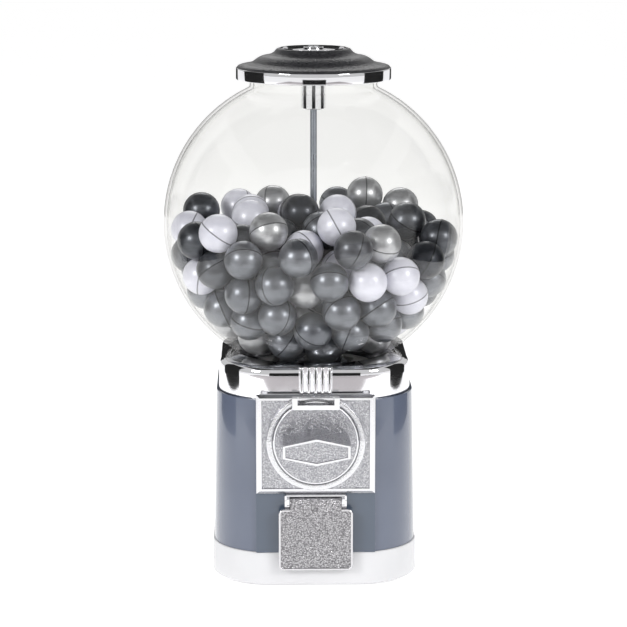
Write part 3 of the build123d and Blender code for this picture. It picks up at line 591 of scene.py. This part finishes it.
outer = globe_line(GLOBE_R, NECK_R, COLLAR_R, 0.9)
inner = globe_line(GLOBE_R - WALL, NECK_R - WALL, COLLAR_R - WALL, 0.0)
shell_line = np.concatenate([outer, inner[::-1]])
piece("clear_globe", [grid(carry(circle(160), shell_line), loop=True)], "cabinet",
      CLEAR, ["globe"])

# %% [markdown]
# ## The lid
#
# The lid is a stepped dome in a black hammer finish, with a chrome band round its edge. Both are
# turned shapes.

# %% Lid dome and band
dome = iron([
    (9.0, 436.4), (27.4, 436.4), (28.2, 438.4), (30.4, 438.4), (33.2, 434.9), (37.0, 433.1), (43.5, 431.9),
    (47.3, 429.9), (51.0, 427.0), (56.0, 425.5), (61.0, 424.7), (63.4, 423.9), (63.8, 422.6),
], 0.5, 5)
under = np.array([(58.0, 422.6), (48.5, 424.6), (44.0, 428.2), (36.0, 430.0), (28.0, 433.4), (9.0, 433.6)])
piece("lid_dome", [grid(carry(circle(160), np.concatenate([dome, under])), loop=True)], "lid",
      LID_BLACK, ["lid_cover"])

band = soften([
    (64.5, 413.0), (64.5, 422.5), (58.5, 422.5), (58.5, 420.5), (61.5, 419.5), (61.5, 414.8), (54.0, 414.8),
    (54.0, 413.0),
], 0.8)
piece("lid_chrome_band", [grid(carry(circle(160), band), loop=True)], "lid", CHROME, ["lid_band"])

# %% [markdown]
# ## Housing, body and skirt
#
# All three share one plan: a square with large round corners. The housing's top edge has a wide
# roll, and its deck changes from square to round at the hole for the globe. The body stops at
# both sides of the flat front panel, so its outline is left open there and its ends are closed.

# %% Chrome housing
HOUSING_LOW, HOUSING_HIGH = span("globe_housing")
HOUSING_HALF, HOUSING_CORE = HOUSING_HIGH[0], 31.0
DECK_HOLE, DECK_THICK, ROLL = 67.3, 2.5, 6.5


def housing_rows():
    top, low = HOUSING_HIGH[2], HOUSING_LOW[2]
    reach = HOUSING_HALF - HOUSING_CORE
    lean = math.tan(math.radians(1.0))
    path = round_square(HOUSING_CORE, HOUSING_CORE, steps=20)
    roll = np.radians(np.linspace(0, 90, 10))
    edge = reach - lean * (top - low)
    outside = [(reach - 1.2, low), (reach, low)]
    outside += [(edge + lean * (ROLL + drop), top - ROLL - drop) for drop in (18.0, 10.0, 4.0, 1.0)]
    outside += list(np.stack([edge - ROLL + ROLL * np.cos(roll), top - ROLL + ROLL * np.sin(roll)], axis=1))
    inside = [(edge - ROLL - 1.0, top - DECK_THICK), (edge - 3.0, top - DECK_THICK - 3.0), (reach - 1.2, low)]
    walls = carry(path, outside)
    lining = carry(path, inside)
    angle = np.arctan2(walls[-1, :, 1], walls[-1, :, 0])
    hole = DECK_HOLE * np.stack([np.cos(angle), np.sin(angle)], axis=1)
    deck = [np.column_stack([hole, np.full(len(hole), z)]) for z in (top, top - DECK_THICK)]
    return np.concatenate([walls, np.stack(deck), lining])


piece("housing_shell", [grid(housing_rows(), loop=True)], "cabinet", CHROME, ["globe_housing"])

# %% Painted body
SHELL_LOW, SHELL_HIGH = span("body_shell")
SHELL_CORE, SHELL_WALL = 34.3, 1.8
SHELL_LEAN = math.tan(math.radians(1.12))
reach_low = SHELL_HIGH[0] - SHELL_CORE
reach_top = reach_low - SHELL_LEAN * (SHELL_HIGH[2] - SHELL_LOW[2])
body_line = soften([
    (reach_low, SHELL_LOW[2]), (reach_top, SHELL_HIGH[2]), (reach_top - SHELL_WALL, SHELL_HIGH[2]),
    (reach_low - SHELL_WALL, SHELL_LOW[2]),
], 0.6)
body_path = round_square(SHELL_CORE, SHELL_CORE, steps=26, gap=98.7)
piece("painted_body", [grid(carry(body_path, body_line), loop=True, ring=False)], "cabinet",
      BODY_PAINT, ["body_shell"], bevel=0.4)

# %% White skirt
SKIRT_LOW, SKIRT_HIGH = span("base_tray")
SKIRT_CORE, SKIRT_WALL, FLOOR_LOW, FLOOR_TOP, FOOT_ROLL = 35.0, 3.6, 9.0, 11.0, 2.5
skirt_reach = SKIRT_HIGH[0] - SKIRT_CORE
skirt_lean = math.tan(math.radians(1.4)) * (SKIRT_HIGH[2] - SKIRT_LOW[2])
foot = np.radians(np.linspace(0, 90, 7))
skirt_inside = skirt_reach - SKIRT_WALL
skirt_line = [(4.0, FLOOR_LOW), (skirt_inside - 0.5, FLOOR_LOW), (skirt_inside, SKIRT_LOW[2])]
skirt_line += [(skirt_reach - FOOT_ROLL + FOOT_ROLL * math.sin(a),
                SKIRT_LOW[2] + FOOT_ROLL - FOOT_ROLL * math.cos(a)) for a in foot]
skirt_top = skirt_reach - skirt_lean
skirt_line += [(skirt_top + 0.1, SKIRT_HIGH[2] - 1.2), (skirt_top - 0.15, SKIRT_HIGH[2] - 0.4),
               (skirt_top - 0.7, SKIRT_HIGH[2]), (skirt_top - SKIRT_WALL, SKIRT_HIGH[2]),
               (skirt_top - SKIRT_WALL, FLOOR_TOP), (4.0, FLOOR_TOP)]
piece("white_skirt", [grid(carry(round_square(SKIRT_CORE, SKIRT_CORE, steps=22), skirt_line))], "cabinet",
      SKIRT_WHITE, ["base_tray"])

# %% [markdown]
# ## Ribs over the joint
#
# Five round-fronted ribs stand side by side on a strip, in front of the housing. Each is a small
# rounded outline carried up and domed at its top, and a loop sets them out.

# %% Chrome ribs
RIB_LOW, RIB_HIGH = span("rib_trim")
RIB_PITCH, RIB_CORE = 5.7, 0.25
rib_reach = 1.45
rib_line = [(rib_reach, RIB_LOW[2]), (rib_reach, RIB_HIGH[2] - 1.2), (rib_reach - 0.3, RIB_HIGH[2] - 0.5),
            (rib_reach - 0.8, RIB_HIGH[2] - 0.1), (0.2, RIB_HIGH[2])]
ribs = [
    grid(carry(round_square(RIB_CORE, 0.4, (RIB_PITCH * k, -83.4), steps=8, hold=0.05), rib_line))
    for k in range(-2, 3)
]
strip = carry(sharp_square(13.6, 1.2, (0, -81.35)), [(0, RIB_LOW[2]), (0, RIB_HIGH[2] - 0.3)])
piece("chrome_ribs", [*ribs, grid(strip)], "cabinet", CHROME, ["rib_trim"], bevel=0.3)

# %% [markdown]
# ## The coin mechanism
#
# The faceplate is a square casting with a polished sloping border, a hammered field and a round
# guard. The guard is a low ring, open at the top where the coin bracket stands, and two higher
# arcs lie on its upper half. The plate has no hole here, so the handle's shaft passes through
# it unseen. Its parts are grids that face the front.

# %% Faceplate with its guard
PLATE_MID = (0.0, (PLATE_LOW[2] + PLATE_HIGH[2]) / 2)
PLATE_FRONT = 89.0
GUARD_IN, GUARD_OUT = 35.7, 40.4
GUARD_FOOT, GUARD_LOW, GUARD_HIGH = 87.6, 92.4, 94.2
GAP_FROM, GAP_TO = 62, 118                    # degrees, with 90 at the top
half_high = (PLATE_HIGH[2] - PLATE_LOW[2]) / 2
plate_line = [(0, 83.3), (0, PLATE_FRONT - 2.6), (-2.6, PLATE_FRONT), (-4.6, PLATE_FRONT),
              (-4.9, PLATE_FRONT - 0.9), (-12, PLATE_FRONT - 0.9)]
plate = facing_front(carry(sharp_square(PLATE_HIGH[0], half_high, PLATE_MID), plate_line))
low_guard = soften([
    (GUARD_IN, GUARD_FOOT), (GUARD_IN, GUARD_LOW), (GUARD_OUT, GUARD_LOW), (GUARD_OUT + 0.4, GUARD_FOOT),
], 0.7)
high_guard = soften([
    (GUARD_IN + 0.9, 92.0), (GUARD_IN + 0.9, GUARD_HIGH), (GUARD_OUT - 0.3, GUARD_HIGH),
    (GUARD_OUT - 0.1, 92.0),
], 0.6)
guard = facing_front(carry(circle(104, (0, HANDLE_Z), GAP_TO, 360 - GAP_TO + GAP_FROM), low_guard))
arcs = [facing_front(carry(circle(40, (0, HANDLE_Z), start, 57), high_guard)) for start in (2, 121)]
piece("cast_faceplate", [
    grid(plate, polish=[1, 1, 1, 1, 0, 0]),
    grid(guard, loop=True, ring=False, polish=0.75),
    *[grid(arc, loop=True, ring=False, polish=0.6) for arc in arcs],
], "cabinet", CASTING, ["faceplate"], bevel=0.35)

# %% [markdown]
# The handle is a disc with a long six-sided grip. The grip narrows towards its face, and the
# face has a polished edge round a hammered hollow. Six corners are enough for each row, and a
# bevel gives the edges their shine.

# %% Turning handle
DISC_BACK, DISC_FRONT, GRIP_FRONT = -HANDLE_HIGH[1], 93.0, -HANDLE_LOW[1]
disc_r = HANDLE_HIGH[0]


def six_sided(half_width, half_height, end_height, height):
    """Six corners round the shaft: two at each end and one at the middle of each long side."""
    a = half_width * np.array([-1, 0, 1, 1, 0, -1])
    b = np.array([-end_height, -half_height, -end_height, end_height, half_height, end_height]) + HANDLE_Z
    return np.stack([a, b, np.full(6, height)], axis=1)


disc_line = [(0.0, DISC_BACK), (disc_r, DISC_BACK), (disc_r, DISC_FRONT - 0.6), (disc_r - 0.6, DISC_FRONT),
             (disc_r - 1.6, DISC_FRONT), (disc_r - 1.8, DISC_FRONT - 0.15), (0.0, DISC_FRONT - 0.15)]
face = facing_front(carry(circle(120, (0, HANDLE_Z)), disc_line))
grip = facing_front(np.stack([
    six_sided(27.4, 12.0, 6.0, DISC_FRONT - 1.0), six_sided(27.25, 11.15, 5.25, GRIP_FRONT - 1.0),
    six_sided(27.2, 11.1, 5.2, GRIP_FRONT),
    six_sided(25.2, 9.1, 4.1, GRIP_FRONT), six_sided(24.9, 8.8, 4.0, GRIP_FRONT - 0.8),
]))
piece("handle_casting", [grid(face, polish=[1, 1, 1, 1, 1, 0, 0]), grid(grip, polish=[0, 0, 1, 1, 0])],
      "handle", CASTING, ["turn_handle"], bevel=0.6)

# %% [markdown]
# The flap is a rounded plate with a raised rim. A narrower neck above it rolls back round the
# hinge pin. The plate is carried forwards, and the neck is its side view carried across. The
# neck has no hole for the pin, which passes through it unseen.

# %% Flap door
FLAP_LOW, FLAP_HIGH = span("flap_door")
FLAP_CORNER, NECK_HALF, HINGE, SHOULDER = 4.0, 21.2, (89.6, 74.5), 68.0
FLAP_BACK, FLAP_FRONT, NECK_FRONT, BARREL_R = 90.4, 93.2, 93.7, 3.1
flap_mid = (0.0, (FLAP_LOW[2] + SHOULDER) / 2)
flap_core = (FLAP_HIGH[0] - FLAP_CORNER, (SHOULDER - FLAP_LOW[2]) / 2 - FLAP_CORNER)
flap_line = [(3.2, FLAP_BACK), (4.0, 90.8), (4.0, 92.6), (3.6, FLAP_FRONT), (2.3, FLAP_FRONT),
             (1.9, 92.7), (0.2, 92.7)]
flap = facing_front(carry(round_square(*flap_core, flap_mid, steps=10, hold=0.8), flap_line))
roll = np.radians(np.linspace(40, 285, 26))
side = [(FLAP_BACK, 62.0), (NECK_FRONT, 62.0), (NECK_FRONT, 71.0), (92.6, 75.4)]
side += [(HINGE[0] + BARREL_R * math.cos(a), HINGE[1] + BARREL_R * math.sin(a)) for a in roll]
side = np.array(side)
neck = np.stack([
    np.column_stack([np.full(len(side), x), -side[:, 0], side[:, 1]]) for x in (-NECK_HALF, NECK_HALF)
])
piece("flap_casting", [grid(flap, polish=[1, 1, 1, 1, 1, 0, 0]), grid(neck)], "flap",
      FLAP_CASTING, ["flap_door"], bevel=0.35)

# %% [markdown]
# ## The engineering parts that stay
#
# Small parts and the works inside keep their engineering shape and get a finish each. Turned
# steel has fine rings, sheet steel has a rolling grain, moulded plastic has a fine-grained skin,
# and rubber is dull with a little dust.

# %% Finishes for the works
def steel(name, colour, grain, rough=0.26):
    """grain stretches a noise along the tool's path."""
    paint = Finish(name)
    lines = paint.noise(520, 3, 0.65, paint.stretched(grain))
    blotch = paint.noise(50, 3, 0.6).between(0.35, 0.75)
    return paint.surface({
        "Base Color": paint.blend(blotch, colour, tuple(0.82 * c for c in colour)),
        "Metallic": 1.0,
        "Roughness": rough + lines * 0.14 + blotch * 0.06,
        "Normal": paint.bump(lines, 0.03, 0.4),
    })


def moulding(name, dark, light, rough):
    paint = Finish(name)
    skin = paint.noise(1600, 3, 0.6)
    rub = paint.noise(70, 4, 0.65).between(0.5, 0.8)
    return paint.surface({
        "Base Color": paint.blend(rub, dark, light),
        "Roughness": rough - rub * 0.12,
        "Normal": paint.bump(skin, 0.04, 0.5),
    })


ACROSS, UPRIGHT, ALONG_Y = (1, 1, 0.04), (0.04, 0.04, 1), (1, 0.04, 1)
STAYING = {
    "chrome": (CHROME, ["mouth_lip", "mouth_frame", "lid_badge", "lock_housing"]),
    "casting": (CASTING, ["mechanism_case"]),
    "polished": (POLISHED, ["coin_slot"]),
    "panel": (SHADED_PANEL_PAINT, ["front_panel"]),
    "rod": (steel("drawn_steel", (0.42, 0.45, 0.50), ACROSS, 0.2), ["centre_rod"]),
    "turned": (steel("turned_steel", (0.52, 0.53, 0.55), UPRIGHT), ["flap_pin", "pawl_pin", "handle_shaft",
                                                                 "lock_barrel", "pawl_spring"]),
    "zinc": (steel("zinc_plate", (0.60, 0.61, 0.62), ALONG_Y, 0.32),
             ["rod_washer", "rod_nut", "hopper_screws", "dispense_guard", "coin_wheel", "ratchet_wheel",
              "mechanism_screws", "lid_liner", "lock_nut"]),
    "sheet": (steel("sheet_steel", (0.50, 0.51, 0.53), ACROSS, 0.3), ["ball_chute", "coin_ramp"]),
    "brass": (steel("turned_brass", (0.72, 0.52, 0.22), ALONG_Y, 0.22), ["shaft_bush", "ratchet_pawl"]),
    "black": (moulding("black_moulding", (0.018, 0.018, 0.02), (0.03, 0.03, 0.033), 0.5),
              ["hopper_bowl", "drive_pinion", "coin_box", "lock_collar"]),
    "natural": (moulding("natural_moulding", (0.62, 0.62, 0.60), (0.70, 0.70, 0.67), 0.45),
                ["dispensing_wheel", "crown_gear"]),
    "rubber": (moulding("black_rubber", (0.022, 0.022, 0.022), (0.04, 0.04, 0.038), 0.82),
               ["rubber_feet", "globe_gasket", "lid_seal"]),
}
kept = 0
for finish, nodes in STAYING.values():
    for node in nodes:
        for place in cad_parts[node].material_slots:
            place.material = finish
        kept += 1
print("engineering parts with a new finish:", kept)

# %% [markdown]
# ## Stage, light and camera
#
# The machine stands on a pale floor. Chrome looks like chrome only when it has both bright and
# dark things to show, so soft lamps stand at the front left, front right and back. Black cards
# stand at the sides, above, behind and ahead, and a grey one lies in front. The cards show in
# reflections only: they cast no shadow and dim nothing, which no real card could do. The floor
# glows a little by itself so that it stays pale, and the lamps do not light the globe, which
# keeps their square outlines off it. All of these are tricks of the staging and say nothing
# about the machine.

# %% Stage
def flat_card(name, centre, size, facing, finish):
    """Rectangle of size (width, height) at centre, whose normal points along facing."""
    facing = np.array(facing, float) / np.linalg.norm(facing)
    side = np.cross((0, 0, 1), facing) if abs(facing[2]) < 0.99 else np.array((1.0, 0, 0))
    side = side / np.linalg.norm(side)
    rise = np.cross(facing, side)
    signs = np.array([(-1, -1), (1, -1), (1, 1), (-1, 1)]) / 2 * size
    corners = np.array(centre) + signs[:, :1] * side + signs[:, 1:] * rise
    mesh = bpy.data.meshes.new(name)
    mesh.from_pydata(corners.tolist(), [], [(0, 1, 2, 3)])
    mesh.materials.append(finish)
    card = bpy.data.objects.new(name, mesh)
    bpy.context.scene.collection.objects.link(card)
    return card


def dark_card(name, centre, size, facing, finish=None):
    """Card that shows in reflections only: it casts no shadow and dims nothing."""
    card = flat_card(name, centre, size, facing, finish or CARD_BLACK)
    card.visible_camera = card.visible_diffuse = card.visible_shadow = card.visible_transmission = False


def plain(name, colour, rough, glow=0.0):
    paint = Finish(name)
    drift = paint.noise(1.5, 2)
    return paint.surface({
        "Base Color": paint.blend(drift, colour, tuple(0.99 * c for c in colour)), "Roughness": rough,
        "Emission Color": (1, 1, 1, 1), "Emission Strength": glow,
    })


FLOOR_PALE = plain("pale_floor", (0.93, 0.93, 0.93), 0.8, glow=0.42)
CARD_BLACK = plain("black_card", (0.004, 0.004, 0.004), 0.9)
flat_card("floor", (0, 0, 0), (60, 60), (0, 0, 1), FLOOR_PALE)
CARD_GREY = plain("grey_card", (0.50, 0.47, 0.48), 0.9)
CARD_AZIMUTH, CARD_AWAY, CARD_HIGH = math.radians(99), 0.75, 0.42
for side in (-1, 1):
    spot = (side * CARD_AWAY * math.sin(CARD_AZIMUTH), -CARD_AWAY * math.cos(CARD_AZIMUTH), CARD_HIGH)
    dark_card("left_card" if side < 0 else "right_card", spot, (0.62, 0.8), (-spot[0], -spot[1], 0))
dark_card("overhead_card", (0, 0.15, 1.2), (1.7, 1.9), (0, 0, -1))
dark_card("back_card", (0, 1.2, 0.34), (1.3, 0.42), (0, -1, 0))
dark_card("front_card", (0, -1.44, 0.003), (3.0, 1.12), (0, 0, 1), CARD_GREY)
dark_card("ahead_card", (0, -1.0, 0.215), (0.6, 0.23), (0, 1, 0))

# %% Lights
def soft_lamp(name, place, size, watts, aim=(0, 0, 0.25)):
    """Square soft lamp at place, turned to shine at aim."""
    light = bpy.data.lights.new(name, "AREA")
    light.shape, light.size, light.energy = "SQUARE", size, watts
    lamp = bpy.data.objects.new(name, light)
    direction = np.array(aim) - np.array(place)
    flat = math.hypot(direction[0], direction[1])
    turn = math.atan2(direction[1], direction[0]) - math.pi / 2
    lamp.rotation_euler = (math.atan2(flat, -direction[2]), 0, turn)
    lamp.location = place
    lamp.visible_camera = False
    bpy.context.scene.collection.objects.link(lamp)
    return lamp


soft_lamp("left_lamp", (-1.25, -1.25, 0.95), 0.5, 13)
soft_lamp("right_lamp", (1.25, -1.25, 0.95), 0.5, 11)
soft_lamp("back_lamp", (0, 1.6, 1.5), 0.9, 6)
unlit = bpy.data.collections.new("no_lamp_spots")
unlit.objects.link(bpy.data.objects["clear_globe"])
unlit.collection_objects[0].light_linking.link_state = "EXCLUDE"
for lamp in [o for o in bpy.data.objects if o.type == "LIGHT"]:
    lamp.light_linking.receiver_collection = unlit
world = bpy.data.worlds.new("pale_room")
world.use_nodes = True
room = world.node_tree.nodes["Background"]
room.inputs["Color"].default_value = (1, 1, 1, 1)
room.inputs["Strength"].default_value = 0.62
bpy.context.scene.world = world
bpy.context.scene.view_settings.view_transform = "Standard"
print("lamps:", len(bpy.data.lights))

# %% Camera
DISTANCE, PITCH, AIM_HEIGHT, SIDE = 1.95, math.radians(11), 0.214, -0.04
SENSOR, LENS = 36.0, 132.0
camera_data = bpy.data.cameras.new("camera")
camera_data.sensor_width, camera_data.lens = SENSOR, LENS
camera = bpy.data.objects.new("camera", camera_data)
camera.location = (SIDE, -DISTANCE * math.cos(PITCH), AIM_HEIGHT + DISTANCE * math.sin(PITCH))
camera.rotation_euler = (math.pi / 2 - PITCH, 0, math.atan2(SIDE, DISTANCE * math.cos(PITCH)))
bpy.context.scene.collection.objects.link(camera)
bpy.context.scene.camera = camera
print("camera at", [round(c, 3) for c in camera.location])
